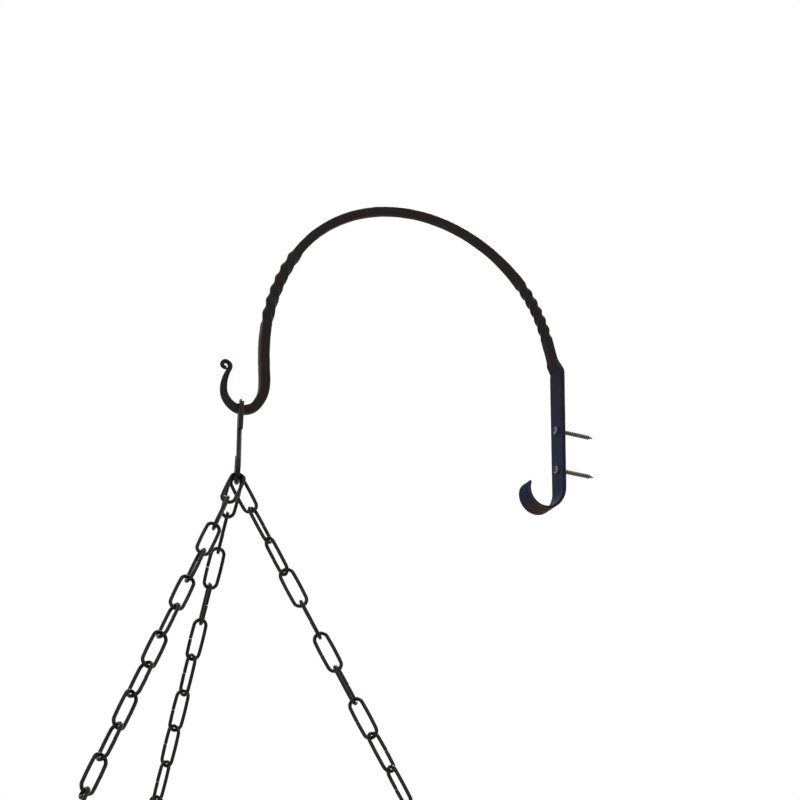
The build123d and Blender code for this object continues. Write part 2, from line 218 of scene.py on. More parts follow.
def skin(name, rings, sharp_angle=40.0):
    """A closed skin over rings of equal point counts, with a flat end at each side."""
    points = [point for ring in rings for point in ring]
    count = len(rings[0])
    faces = []
    for row in range(len(rings) - 1):
        for column in range(count):
            after = (column + 1) % count
            faces.append((row * count + column, row * count + after,
                          (row + 1) * count + after, (row + 1) * count + column))
    faces.append(tuple(reversed(range(count))))
    last = (len(rings) - 1) * count
    faces.append(tuple(range(last, last + count)))
    mesh = bpy.data.meshes.new(name)
    mesh.from_pydata([tuple(point) for point in points], [], faces)
    mesh.update()
    shell = bmesh.new()
    shell.from_mesh(mesh)
    bmesh.ops.recalc_face_normals(shell, faces=shell.faces)
    shell.to_mesh(mesh)
    shell.free()
    mesh.shade_smooth()
    mesh.set_sharp_from_angle(angle=math.radians(sharp_angle))
    return mesh


def arc(centre, radius, start, end, pieces):
    """Points on a circle in a flat plane, angles in degrees from the first axis."""
    points = []
    for index in range(pieces + 1):
        angle = math.radians(start + (end - start) * index / pieces)
        points.append(Vector((centre[0] + radius * math.cos(angle),
                              centre[1] + radius * math.sin(angle), 0.0)))
    return points


def wire_mesh(name, path, radius, sides, edge):
    """Lacquered round wire along a flat path, both ends cut square with the edge broken."""
    # points that fall on the one before are left out
    spots = []
    for point in path:
        if not spots or (point - spots[-1]).length > radius * 0.01:
            spots.append(point)
    directions = []
    for index in range(len(spots)):
        before = spots[max(index - 1, 0)]
        after = spots[min(index + 1, len(spots) - 1)]
        directions.append((after - before).normalized())
    first = spots[0] + directions[0] * edge
    last = spots[-1] - directions[-1] * edge
    stations = [(spots[0], directions[0], radius - edge), (first, directions[0], radius)]
    stations += [(spot, direction, radius)
                 for spot, direction in zip(spots[1:-1], directions[1:-1])]
    stations += [(last, directions[-1], radius), (spots[-1], directions[-1], radius - edge)]
    up = Vector((0.0, 0.0, 1.0))
    rings = []
    for spot, direction, size in stations:
        side = up.cross(direction)
        ring = []
        for corner in range(sides):
            angle = 2 * math.pi * corner / sides
            ring.append(spot + (side * math.cos(angle) + up * math.sin(angle)) * size)
        rings.append(ring)
    mesh = skin(name, rings)
    mesh.materials.append(lacquered_wire())
    return mesh


# the bar's centreline in the upright plane square to the wall: first its distance from the wall,
# height and heading, then its straights (a radius of 0 and a length) and bends (a radius and the
# heading that they end on), in metres and in degrees from straight up towards the room
arm_start = (0.007, 0.100, 16.0)
arm_rise = 0.031
arm_bends = ((0.147, 41.0), (0.164, 149.0), (0.224, 184.0), (0.0, 0.025), (0.0435, 147.5),
             (0.0195, 4.0), (0.042, -22.0), (0.0, 0.006), (0.0048, 68.0), (0.0042, 158.0),
             (0.0031, 292.0))
# how many stretches, the rise among them, come before the hook and before the scroll eye
drop_stretches, neck_stretches = 5, 9
# each twist's start and length along the bar and its turn in degrees, and how softly it begins
twists = ((0.0275, 0.070, 540.0), (0.4055, 0.0955, -540.0))
twist_ease = 0.1
# the bar's thickness on its way from the drop to the end of the scroll eye
hook_taper = ((0.0, 0.0100), (0.22, 0.0100), (0.36, 0.0095), (0.52, 0.0080), (0.66, 0.0069),
              (0.80, 0.0050), (1.0, 0.0039))
# the corners' radius at the scroll eye as a share of the thickness, and how soon it is reached
eye_roundness, rounding_pace = 0.46, 1.5
# the length over which the arch's worn corners begin and end
worn_ramp = 0.04
# heights of the strip's ends and of the shoulder's, where the strip's width runs out into the bar
strip_top, strip_bottom = 0.092, -0.045
shoulder = (0.0895, 0.1055)
# the curl: radius and turn in degrees of its wide start and of the rest, and its tip's rounding
curl_start = (0.030, 60.0)
curl_bend = (0.0195, 211.0)
curl_round = 0.005
# the grooves: how many, and the turn where they start and over which they reach their depth
groove_count = 4
groove_start, groove_ramp = 18.0, 22.0
# headings where the curl's outside turns from painted blue sky reflection to painted ground light
ground_light_start, ground_light_ramp = -175.0, 60.0
# the small dents' size and depth as shares of the large ones'
small_size, small_depth = 0.35, 0.4
# how far from the wall the painted blue sky reflection on the strip and curl reaches
painted_sky_reach = 0.06
# the screws' heights, and how far each has its recess turned, in degrees
screw_heights = (0.0227, -0.0227)
recess_turns = (20.0, 55.0)
# where painted shade sits on a head: a painted shadow past a share of its radius, and within a
# share of the recess's length on faces that stand steeply or lie this far below the crown
rim_shadow, recess_shaded, steep, sunk = 0.8, 0.56, 0.7, 0.00025

# distances between the stations along the plain bar, its twists, the hook and the scroll eye
bar_step, twist_step, hook_step, eye_step = 0.0016, 0.0006, 0.0011, 0.0005
curl_steps, strip_steps, shoulder_steps = 110, 60, 18
# how far round an end hook's eye and its open bend go, in degrees
eye_turn, hook_turn = 290.0, 160.0
# distances between the points along the wires of the S-hook and the end hooks
s_step, end_step = 0.0012, 0.001
# how far from a link's middle its butt joint can reach
joint_reach = 0.001

Station = namedtuple("Station", "out height heading width thick corner turn groove",
                     defaults=(0.0, 0.0))


def ramp(value, start, reach):
    """How far a value is past a start, from 0 there to 1 a reach further on."""
    return min(max((value - start) / reach, 0.0), 1.0)


def mixed(first, second, share):
    """The value a share of the way from one to another."""
    return first + share * (second - first)


def arm_stretches():
    """Length and end heading of each straight and bend of the bar's line."""
    stretches = [(arm_rise, arm_start[2])]
    heading = arm_start[2]
    for radius, value in arm_bends:
        if radius == 0.0:
            stretches.append((value, heading))
        else:
            stretches.append((radius * math.radians(abs(value - heading)), value))
            heading = value
    return stretches


def arm_point(stretches, station):
    """Outward distance, height and heading of the bar's line at a length along it."""
    out, height, heading = arm_start
    left = station
    for reach, end_heading in stretches:
        way = min(left, reach)
        turn = math.radians(end_heading - heading) * way / reach
        before = math.radians(heading)
        if turn == 0.0:
            out += way * math.sin(before)
            height += way * math.cos(before)
        else:
            radius = way / turn
            out += radius * (math.cos(before) - math.cos(before + turn))
            height += radius * (math.sin(before + turn) - math.sin(before))
            heading += math.degrees(turn)
        left -= way
        if left <= 0.0:
            break
    return out, height, heading


def between(table, way):
    """A value read from a table of places and sizes by straight runs."""
    for (start, low), (end, high) in zip(table[:-1], table[1:]):
        if way <= end:
            return low + (high - low) * (way - start) / (end - start)
    return table[-1][1]


def shoulder_width(forging, height):
    """Width of the forging at a height, where the strip runs out into the bar."""
    share = ramp(height, shoulder[0], shoulder[1] - shoulder[0])
    # nearly straight, with soft ends
    eased = 0.6 * share + 0.4 * share * share * (3 - 2 * share)
    return mixed(forging.strip_width, forging.bar, eased)


def curl_stations(forging):
    """Stations from the curl's tip round to the strip's foot, thicker on the way."""
    start_radius, start_turn = curl_start
    radius, end_turn = curl_bend
    middle = math.radians(start_turn)
    centre = (start_radius - (start_radius - radius) * math.cos(middle),
              strip_bottom - (start_radius - radius) * math.sin(middle))
    stations = []
    for index in range(curl_steps + 1):
        turn = end_turn * (1 - index / curl_steps)
        if turn >= start_turn:
            share = (turn - start_turn) / (end_turn - start_turn)
            thick = mixed(forging.curl_middle, forging.curl_tip, share)
            spot, bend = centre, radius
        else:
            thick = mixed(forging.strip_foot, forging.curl_middle, turn / start_turn)
            spot, bend = (start_radius, strip_bottom), start_radius
        angle = math.radians(turn)
        reach = bend - thick / 2
        tip_way = math.radians(end_turn - turn) * radius
        width = forging.strip_width
        if tip_way < curl_round:
            width -= 2 * (curl_round - math.sqrt(curl_round ** 2 - (curl_round - tip_way) ** 2))
        stations.append(Station(
            spot[0] - reach * math.cos(angle), spot[1] - reach * math.sin(angle), -turn, width,
            thick, forging.strip_corner, groove=ramp(turn, groove_start, groove_ramp)))
    return stations


def strip_stations(forging):
    """Stations up the flat strip, whose back lies on the wall."""
    stations = []
    for index in range(1, strip_steps + 1):
        share = index / strip_steps
        height = mixed(strip_bottom, strip_top, share)
        thick = mixed(forging.strip_foot, forging.strip_head, share)
        stations.append(Station(thick / 2, height, 0.0, shoulder_width(forging, height), thick,
                                forging.strip_corner))
    return stations


def shoulder_stations(forging):
    """Stations from the strip's top to the bar's start."""
    out, top, heading = arm_start
    stations = []
    for index in range(1, shoulder_steps):
        share = index / shoulder_steps
        height = mixed(strip_top, top, share)
        stations.append(Station(
            mixed(forging.strip_head / 2, out, share), height, share * heading,
            shoulder_width(forging, height), mixed(forging.strip_head, forging.bar, share),
            mixed(forging.strip_corner, forging.bar_corner, share)))
    return stations


def twist_at(station):
    """The bar's twist in degrees at a length along it, and whether it is twisting there."""
    turn = 0.0
    twisting = False
    for start, reach, angle in twists:
        share = ramp(station, start, reach)
        turn += angle * (share - twist_ease * math.sin(2 * math.pi * share) / (2 * math.pi))
        twisting = twisting or 0.0 < share < 1.0
    return turn, twisting


def corner_share(forging, station, way):
    """The corners' radius as a share of the bar, rounder on the arch and towards the eye."""
    share = forging.bar_corner / forging.bar
    share += min(rounding_pace * way, 1.0) * (eye_roundness - share)
    (first_start, first_reach, _), (second_start, _, _) = twists
    worn = ramp(station - first_start, first_reach, worn_ramp)
    worn *= ramp(second_start - station, 0.0, worn_ramp)
    return share + worn * (forging.arch_corner - forging.bar_corner) / forging.bar


def bar_stations(forging):
    """Stations along the bar: rise, arch, drop, hook and scroll eye."""
    stretches = arm_stretches()
    total = sum(reach for reach, heading in stretches)
    drop_end = sum(reach for reach, heading in stretches[:drop_stretches])
    neck_end = sum(reach for reach, heading in stretches[:neck_stretches])
    stations = []
    station = 0.0
    while station < total:
        out, height, heading = arm_point(stretches, station)
        way = max(0.0, (station - drop_end) / (total - drop_end))
        size = between(hook_taper, way) if way > 0.0 else forging.bar
        width = shoulder_width(forging, height) if station < arm_rise else size
        turn, twisting = twist_at(station)
        stations.append(Station(out, height, heading, width, size,
                                size * corner_share(forging, station, way), math.radians(turn)))
        if station > neck_end:
            station += eye_step
        elif station > drop_end:
            station += hook_step
        else:
            station += twist_step if twisting else bar_step
    size = hook_taper[-1][1]
    stations.append(Station(*arm_point(stretches, total), size, size, size * eye_roundness))
    return stations


def section_points(width, thick, corner, across=36, through=8, turns=4):
    """Points around a rectangle with rounded corners, always in the same order and count."""
    half_width, half_thick = width / 2, thick / 2
    # a corner leaves a little of both flats
    corner = min(corner, half_width * 0.98, half_thick * 0.98)
    flat_width, flat_thick = half_width - corner, half_thick - corner
    corners = ((flat_width, flat_thick), (-flat_width, flat_thick), (-flat_width, -flat_thick),
               (flat_width, -flat_thick))
    # each quarter is the flat that leads to a corner, then the corner
    flats = (((half_width, -flat_thick), (half_width, flat_thick), through),
             ((flat_width, half_thick), (-flat_width, half_thick), across),
             ((-half_width, flat_thick), (-half_width, -flat_thick), through),
             ((-flat_width, -half_thick), (flat_width, -half_thick), across))
    points = []
    for quarter, (start, end, steps) in enumerate(flats):
        for step in range(steps):
            points.append((mixed(start[0], end[0], step / steps),
                           mixed(start[1], end[1], step / steps)))
        x, y = corners[quarter]
        for step in range(turns):
            angle = math.pi / 2 * (quarter + step / turns)
            points.append((x + corner * math.cos(angle), y + corner * math.sin(angle)))
    return points


def groove_share(forging, x, groove):
    """How deep the grooves are at a place across the curl, as a share of their full depth."""
    deepest = 0.0
    for index in range(groove_count):
        off = abs(x - (index - (groove_count - 1) / 2) * forging.groove_pitch)
        share = max(0.0, 1.0 - off / (forging.groove_width / 2))
        deepest = max(deepest, groove * share * (2 - share))
    return deepest


def hammered(forging, spot, centre, thick):
    """A spot of the skin moved in or out by the hammer's large and small dents."""
    dent = noise.noise(spot / forging.hammer_size)
    dent += small_depth * noise.noise(spot / (forging.hammer_size * small_size))
    # a thin end takes a lighter blow
    depth = forging.hammer_depth * min(1.0, thick / forging.bar + 0.2)
    return spot + (spot - centre).normalized() * depth * dent


def forging_mesh(forging):
    """One skin from the curl to the scroll eye, grooved and dented by the hammer."""
    rings = []
    carving = []
    ground_light = []
    side = Vector((1.0, 0.0, 0.0))
    for station in [*curl_stations(forging), *strip_stations(forging),
                    *shoulder_stations(forging), *bar_stations(forging)]:
        angle, turn = math.radians(station.heading), station.turn
        back = Vector((0.0, math.cos(angle), math.sin(angle)))
        centre = Vector((0.0, -station.out, station.height))
        x_axis = side * math.cos(turn) + back * math.sin(turn)
        y_axis = back * math.cos(turn) - side * math.sin(turn)
        # share of painted warm ground light on the curl's lower outside
        brown = station.groove * ramp(station.heading, ground_light_start, ground_light_ramp)
        ring = []
        for x, y in section_points(station.width, station.thick, station.corner):
            # only the curl's outer face is carved
            carved = 0.0
            if station.groove > 0.0 and y > station.thick * 0.45:
                carved = groove_share(forging, x, station.groove)
            carving.append(carved)
            ground_light.append(brown if y > 0.0 else 0.0)
            spot = centre + x_axis * x + y_axis * (y - forging.groove_depth * carved)
            spot = hammered(forging, spot, centre, station.thick)
            # nothing reaches into the wall
            spot.y = min(spot.y, 0.0)
            ring.append(spot)
        rings.append(ring)
    mesh = skin("forged_bracket", rings, sharp_angle=60.0)
    mesh.attributes.new("carving", "FLOAT", "POINT").data.foreach_set("value", carving)
    mesh.attributes.new("ground_light", "FLOAT", "POINT").data.foreach_set("value", ground_light)
    return mesh


def cut(piece, cutter):
    """Takes one mesh out of another and removes the cutter."""
    modifier = piece.modifiers.new("cut", "BOOLEAN")
    modifier.operation = "DIFFERENCE"
    modifier.solver = "EXACT"
    modifier.object = cutter
    bpy.context.view_layer.update()
    result = bpy.data.meshes.new_from_object(
        piece.evaluated_get(bpy.context.evaluated_depsgraph_get()))
    piece.modifiers.remove(modifier)
    piece.data = result
    bpy.data.objects.remove(cutter)


def turned_mesh(name, profile, sides):
    """A turned piece about the Y axis: each profile point is a distance along Y and a radius."""
    rings = []
    for along, radius in profile:
        rings.append([Vector((radius * math.cos(2 * math.pi * side / sides), along,
                              radius * math.sin(2 * math.pi * side / sides)))
                      for side in range(sides)])
    return skin(name, rings, sharp_angle=35.0)


class BRACKET_OT_forging(bpy.types.Operator):
    """Lay the hammered skin over the bracket"""

    bl_idname = "plant_bracket.forging"
    bl_label = "Forged bracket"

    def execute(self, context):
        forging = settings().forging
        piece = add_object("forged_bracket", forging_mesh(forging))
        # from well in front of the strip to behind it
        drill = ((-0.02, forging.hole / 2), (0.01, forging.hole / 2))
        for height in screw_heights:
            cutter = add_object("drill", turned_mesh("drill", drill, 40))
            cutter.location = (0.0, 0.0, height)
            cut(piece, cutter)
        piece.data.materials.clear()
        piece.data.materials.append(waxed_iron())
        piece.data.materials.append(painted_sky_strip())
        for face in piece.data.polygons:
            # the strip's edges get no painted sky reflection and keep the brown-black scale of the
            # bar
            edge = abs(face.normal.x) > 0.8
            if face.center.z < shoulder[0] and face.center.y > -painted_sky_reach and not edge:
                face.material_index = 1
        dress(piece, "bracket", ["bracket"])
        return {"FINISHED"}


def screw_profile(sizes, seat):
    """A screw's outline from the dome's middle to the gimlet point, as turned_mesh takes it."""
    radius = sizes.head / 2
    crown = sizes.dome - sizes.rim
    ball = (radius ** 2 + crown ** 2) / (2 * crown)
    half_angle = math.asin(radius / ball)
    profile = []
    steps = 12
    for step in range(steps + 1):
        # the first ring lies a hair off the middle
        angle = half_angle * max(step, 0.02) / steps
        profile.append((-seat - sizes.dome + ball * (1 - math.cos(angle)),
                        ball * math.sin(angle)))
    ease = sizes.rim * 0.3
    profile += [(-seat - ease, radius), (-seat, radius - ease), (-seat, sizes.neck / 2),
                (0.0, sizes.neck / 2)]
    # one turn of the thread, as shares of its pitch and the diameters there
    ridge = ((0.0, sizes.core), (0.3, sizes.core), (0.5, sizes.shank), (0.6, sizes.shank),
             (0.8, sizes.core))
    turn = 0.0
    while turn < sizes.thread_length:
        profile += [(turn + share * sizes.thread_pitch, size / 2) for share, size in ridge]
        turn += sizes.thread_pitch
    end = sizes.thread_length + sizes.point
    profile.append((end, sizes.tip / 2))
    return [(min(along, end), size) for along, size in profile]


def cut_recess(piece, sizes, crown, turn):
    """Cuts the tapered cross recess into a head, turned by an angle in degrees."""
    half_long, half_wide = sizes.slot_length / 2, sizes.slot_width / 2
    for arm in (0, 1):
        rings = []
        # wider at the mouth, which lies outside the head, than at the bottom
        for depth, shrink in ((-0.001, 1.25), (sizes.slot_depth, 0.72)):
            rings.append([Vector((x * shrink, crown + depth, z * shrink))
                          for x, z in ((half_long, half_wide), (-half_long, half_wide),
                                       (-half_long, -half_wide), (half_long, -half_wide))])
        cutter = add_object("recess", skin("recess", rings, sharp_angle=30.0))
        cutter.rotation_euler = (0.0, math.radians(turn + 90.0 * arm), 0.0)
        cut(piece, cutter)


class BRACKET_OT_screws(bpy.types.Operator):
    """Turn the two wood screws with their cross recess"""

    bl_idname = "plant_bracket.screws"
    bl_label = "Wood screws"

    def execute(self, context):
        sizes = settings().screws
        forging = settings().forging
        finishes = (screw_paint(), painted_head_shade(), zinc_plating())
        painted, shaded, plated = range(3)
        radius = sizes.head / 2
        for index, (height, turn) in enumerate(zip(screw_heights, recess_turns)):
            # the head seats where the strip is thickest under it
            share = (height + radius - strip_bottom) / (strip_top - strip_bottom)
            seat = mixed(forging.strip_foot, forging.strip_head, share) + sizes.head_gap
            crown = -seat - sizes.dome
            piece = add_object(f"wood_screw_{index + 1}",
                               turned_mesh("wood_screw", screw_profile(sizes, seat), 48))
            cut_recess(piece, sizes, crown, turn)
            piece.location = (0.0, 0.0, height)
            piece.data.materials.clear()
            for finish in finishes:
                piece.data.materials.append(finish)
            for face in piece.data.polygons:
                along, off = face.center.y, math.hypot(face.center.x, face.center.z)
                walls = abs(face.normal.y) < steep or along > crown + sunk
                recess = off < sizes.slot_length * recess_shaded and walls
                if along > -seat:
                    face.material_index = plated
                # painted shade in the recess and painted shadow against the rim
                elif along < -seat and (recess or off > radius * rim_shadow):
                    face.material_index = shaded
                else:
                    face.material_index = painted
            dress(piece, "bracket", [] if index else ["screws"])
        return {"FINISHED"}


class BRACKET_OT_s_hook(bpy.types.Operator):
    """Bend the S-hook from round wire"""

    bl_idname = "plant_bracket.s_hook"
    bl_label = "S-hook"

    def execute(self, context):
        wires = settings().wires
        swing = joints["s_hook_swing"]
        across = Vector(swing["axis"]).normalized()
        up = Vector((0.0, 0.0, 1.0))
        # the loose hook has slipped round on the bar, a little further than its joint's plane
        level = Matrix.Rotation(-wires.s_slip, 3, "Z") @ up.cross(across)
        bend, span = wires.s_bend, wires.s_span
        lean = math.degrees(math.asin(2 * bend / span))
        path = [Vector((bend, -wires.s_upper_leg, 0.0))]
        path += arc((0.0, 0.0), bend, 0.0, 180.0 + lean, 40)
        path += arc((0.0, -span), bend, lean, -180.0, 40)
        path += [Vector((-bend, wires.s_lower_leg - span, 0.0))]
        mesh = wire_mesh("s_hook_wire", spread(path, s_step), wires.s_wire / 2, wires.s_sides,
                         wires.s_edge)
        hang(mesh, "s_hook", Vector(swing["pos_m"]), -up, level)
        return {"FINISHED"}


def spread(path, step):
    """The same path with points added so that none are further apart than a step."""
    points = [path[0]]
    for before, after in zip(path[:-1], path[1:]):
        pieces = max(1, math.ceil((after - before).length / step))
        for index in range(1, pieces + 1):
            points.append(before.lerp(after, index / pieces))
    return points


def link_path(wires):
    """Round a link once: two bends and two bowed legs, from one end of the butt joint."""
    half_width = (wires.link_width - wires.link_wire) / 2
    half_length = (wires.link_length - wires.link_wire) / 2
    bend = half_width - wires.link_bow
    height = half_length - bend
    reach = (height ** 2 + wires.link_bow ** 2) / (2 * wires.link_bow)
    swing = math.degrees(math.asin(height / reach))
    gap = math.degrees(wires.link_gap / 2 / reach)
    near = (half_width - reach, 0.0)
    far = (reach - half_width, 0.0)
    leg, turn = 14, 26
    path = arc(near, reach, gap, swing, leg)
    path += arc((0.0, height), bend, 0.0, 180.0, turn)
    path += arc(far, reach, 180.0 - swing, 180.0 + swing, turn)
    path += arc((0.0, -height), bend, 180.0, 360.0, turn)
    path += arc(near, reach, -swing, -gap, leg)
    # the two ends of the butt joint step apart
    for index in range(leg):
        share = 1 - index / leg
        path[index].z += wires.joint_step / 2 * share ** 3
        path[-1 - index].z -= wires.joint_step / 2 * share ** 3
    return path


def end_hook_path(wires):
    """An eye round the last link's wire, a stem and an open bend below it."""
    eye, bend = wires.eye_bend, wires.hook_bend
    path = arc((0.0, -eye), eye, eye_turn, 0.0, 40)
    path += arc((eye - bend, -eye - wires.stem), bend, 0.0, -hook_turn, 26)
    return path


def down_chain(name):
    """Where a link hangs: the joint above it, the joint below it and the line between them."""
    above = joints[name + "_swing"]
    chain, _, number = name.split("_")
    following = chain + "_link_" + str(int(number) + 1).zfill(2)
    if following + "_swing" not in joints:
        following = chain + "_end_hook"
    below = joints[following + "_swing"]
    seat = Vector(below["pos_m"])
    line = (seat - Vector(above["pos_m"])).normalized()
    width = Vector(below["axis"]).normalized()
    # the butt joint's two end faces are the only corners of a link near its middle
    wires = settings().wires
    middle = seat - line * (wires.link_length - wires.link_wire) / 2
    side = 0.0
    for corner in bpy.data.objects[name].data.vertices:
        off = corner.co - middle
        if abs(off.dot(line)) < joint_reach:
            side += off.dot(width)
    return seat, line, width if side > 0.0 else -width


def hang(mesh, name, top, line, width):
    """Hangs a bent wire in place of its node, down a line and with its flat one way."""
    piece = add_object(name + "_wire", mesh)
    piece.matrix_world = axes_at(top, width, -line, width.cross(-line))
    dress(piece, name, [name])


class BRACKET_OT_chains(bpy.types.Operator):
    """Bend the links of the three chains"""

    bl_idname = "plant_bracket.chains"
    bl_label = "Chains"

    def execute(self, context):
        wires = settings().wires
        mesh = wire_mesh("link_wire", link_path(wires), wires.link_wire / 2, wires.sides,
                         wires.edge)
        half = (wires.link_length - wires.link_wire) / 2
        for name in sorted(frame["nodes"]):
            if "_link_" in name:
                seat, line, width = down_chain(name)
                hang(mesh, name, seat - line * half, line, width)
        return {"FINISHED"}


class BRACKET_OT_end_hooks(bpy.types.Operator):
    """Bend the three open hooks at the chains' ends"""

    bl_idname = "plant_bracket.end_hooks"
    bl_label = "End hooks"

    def execute(self, context):
        wires = settings().wires
        path = spread(end_hook_path(wires), end_step)
        mesh = wire_mesh("end_hook_wire", path, wires.link_wire / 2, wires.sides, wires.edge)
        for chain in ("right", "middle", "left"):
            seat, line, last_width = down_chain(chain + "_link_11")
            # the eye goes round the last link's wire with its play
            top = seat - line * (wires.link_wire + wires.play)
            hang(mesh, chain + "_end_hook", top, line, line.cross(last_width))
        return {"FINISHED"}


# a Mix node's colour sockets have the names of its number sockets, so they go by their places
colour_a, colour_b, colour_out = 6, 7, 2


def set_node(tree, node, values=(), links=()):
    """Gives a node its settings or socket values and its links."""
    for key, value in dict(values).items():
        if isinstance(key, int) or key in node.inputs:
            node.inputs[key].default_value = value
        else:
            setattr(node, key, value)
    for key, socket in dict(links).items():
        tree.links.new(socket, node.inputs[key])
    return node


def add_node(tree, kind, values=(), links=()):
    """Adds one node, with its settings or socket values and its links."""
    return set_node(tree, tree.nodes.new(kind), values, links)


def new_finish(name):
    """A node material with its surface shader alone, and the object coordinates for patterns."""
    material = bpy.data.materials.new(name)
    material.use_nodes = True
    tree = material.node_tree
    tree.nodes.clear()
    shader = add_node(tree, "ShaderNodeBsdfPrincipled")
    add_node(tree, "ShaderNodeOutputMaterial", (), {"Surface": shader.outputs["BSDF"]})
    place = add_node(tree, "ShaderNodeTexCoord")
    return material, tree, shader, place.outputs["Object"]


def per_metre(millimetres):
    """The texture scale at which one feature is so many millimetres across."""
    return 1000.0 / millimetres


def opaque(values):
    """A colour with full opacity, as the sockets take it."""
    return (*values, 1.0)


def worn_colour(tree, pattern, start, end, most, colours):
    """A colour that wears through to another, by a share at most, where a pattern is high."""
    share = add_node(tree, "ShaderNodeMapRange",
                     {"From Min": start, "From Max": end, "To Min": 0.0, "To Max": most},
                     {"Value": pattern})
    worn = add_node(tree, "ShaderNodeMix",
                    {"data_type": "RGBA", colour_a: opaque(colours[0]),
                     colour_b: opaque(colours[1])}, {"Factor": share.outputs["Result"]})
    return worn.outputs[colour_out]


def uneven_gloss(tree, pattern, smooth, rough):
    """Roughness that follows a pattern between two values."""
    gloss = add_node(tree, "ShaderNodeMapRange",
                     {"From Min": 0.3, "From Max": 0.7, "To Min": smooth, "To Max": rough},
                     {"Value": pattern})
    return gloss.outputs["Result"]


def scale_texture(tree, place):
    """Patches, pits and hammer faces that the bar and the strip share."""
    # patches of thicker and thinner scale
    patches = add_node(tree, "ShaderNodeTexNoise",
                       {"Scale": per_metre(15.4), "Detail": 4.0, "Roughness": 0.6},
                       {"Vector": place})
    # scale pits
    pits = add_node(tree, "ShaderNodeTexNoise",
                    {"Scale": per_metre(0.83), "Detail": 2.0, "Roughness": 0.7},
                    {"Vector": place})
    # hammer faces
    dents = add_node(tree, "ShaderNodeTexVoronoi",
                     {"Scale": per_metre(7.1), "feature": "SMOOTH_F1", "Smoothness": 0.6},
                     {"Vector": place})
    fine = add_node(tree, "ShaderNodeBump", {"Strength": 0.08, "Distance": 0.0001},
                    {"Height": pits.outputs["Fac"]})
    coarse = add_node(tree, "ShaderNodeBump", {"Strength": 0.3, "Distance": 0.0005},
                      {"Height": dents.outputs["Distance"], "Normal": fine.outputs["Normal"]})
    return patches.outputs["Fac"], coarse.outputs["Normal"]


def waxed_iron():
    """Forged mild steel bar, its fire scale brushed and waxed."""
    # brown-black with a soft gloss: highlights on the rounded corners, broken by hammer dents
    material, tree, shader, place = new_finish("waxed_forge_scale")
    finish = settings().finishes
    patches, dented = scale_texture(tree, place)
    # the scale is thin where the patches are lightest
    rubbed = worn_colour(tree, patches, 0.56, 0.78, 0.3, (finish.iron, finish.iron_rub))
    set_node(tree, shader, {"Specular IOR Level": 0.03},
             {"Base Color": rubbed, "Roughness": uneven_gloss(tree, patches, 0.28, 0.40),
              "Normal": dented})
    return material


def painted_sky_strip():
    """Forged mild steel strip and curl, black with a painted blue sky reflection."""
    # matt black under a painted navy sky reflection that grows lighter down the strip, with
    # painted warm ground light under the curl and painted shade in its grooves
    material, tree, shader, place = new_finish("strip_with_painted_sky")
    finish = settings().finishes
    patches, dented = scale_texture(tree, place)
    apart = add_node(tree, "ShaderNodeSeparateXYZ", (), {"Vector": place})
    # the painted sky reflection grows lighter down the strip
    lighter = add_node(tree, "ShaderNodeMapRange",
                       {"From Min": 0.090, "From Max": -0.065, "To Min": 0.0, "To Max": 0.6},
                       {"Value": apart.outputs["Z"]})
    mottle = add_node(tree, "ShaderNodeMath", {"operation": "MULTIPLY_ADD"},
                      {0: lighter.outputs["Result"], 1: patches, 2: lighter.outputs["Result"]})
    strip = add_node(tree, "ShaderNodeMix",
                     {"data_type": "RGBA", colour_a: opaque(finish.painted_sky_navy),
                      colour_b: opaque(finish.painted_sky_light)}, {"Factor": mottle.outputs["Value"]})
    # painted warm ground light on the curl's outside, and painted shade in its grooves
    ground_light = add_node(tree, "ShaderNodeAttribute", {"attribute_name": "ground_light"})
    ground_tinted = add_node(tree, "ShaderNodeMix",
                     {"data_type": "RGBA", colour_b: opaque(finish.painted_ground_brown)},
                     {"Factor": ground_light.outputs["Fac"], colour_a: strip.outputs[colour_out]})
    # painted shade in the curl's grooves, darkest where they are deepest
    carving = add_node(tree, "ShaderNodeAttribute", {"attribute_name": "carving"})
    carved = add_node(tree, "ShaderNodeMix",
                      {"data_type": "RGBA", colour_b: opaque(finish.recess)},
                      {"Factor": carving.outputs["Fac"], colour_a: ground_tinted.outputs[colour_out]})
    set_node(tree, shader, {"Specular IOR Level": 0.03},
             {"Base Color": carved.outputs[colour_out],
              "Roughness": uneven_gloss(tree, patches, 0.42, 0.55), "Normal": dented})
    return material


def lacquered_wire():
    """Drawn mild steel wire, bent and dipped in black lacquer."""
    if "black_lacquered_wire" in bpy.data.materials:
        return bpy.data.materials["black_lacquered_wire"]
    # nearly black with a tight highlight, rubbed grey where the links bear
    material, tree, shader, place = new_finish("black_lacquered_wire")
    finish = settings().finishes
    # rubs of the links on each other
    rubs = add_node(tree, "ShaderNodeTexNoise",
                    {"Scale": per_metre(4.2), "Detail": 3.0, "Roughness": 0.6}, {"Vector": place})
    # dust in the lacquer
    dust = add_node(tree, "ShaderNodeTexNoise",
                    {"Scale": per_metre(0.5), "Detail": 1.0, "Roughness": 0.5}, {"Vector": place})
    rubbed = worn_colour(tree, rubs.outputs["Fac"], 0.58, 0.80, 0.2,
                         (finish.wire, finish.wire_rub))
    bump = add_node(tree, "ShaderNodeBump", {"Strength": 0.05, "Distance": 0.0001},
                    {"Height": dust.outputs["Fac"]})
    set_node(tree, shader, {"Metallic": 0.05, "Specular IOR Level": 0.2},
             {"Base Color": rubbed, "Normal": bump.outputs["Normal"],
              "Roughness": uneven_gloss(tree, rubs.outputs["Fac"], 0.2, 0.32)})
    return material


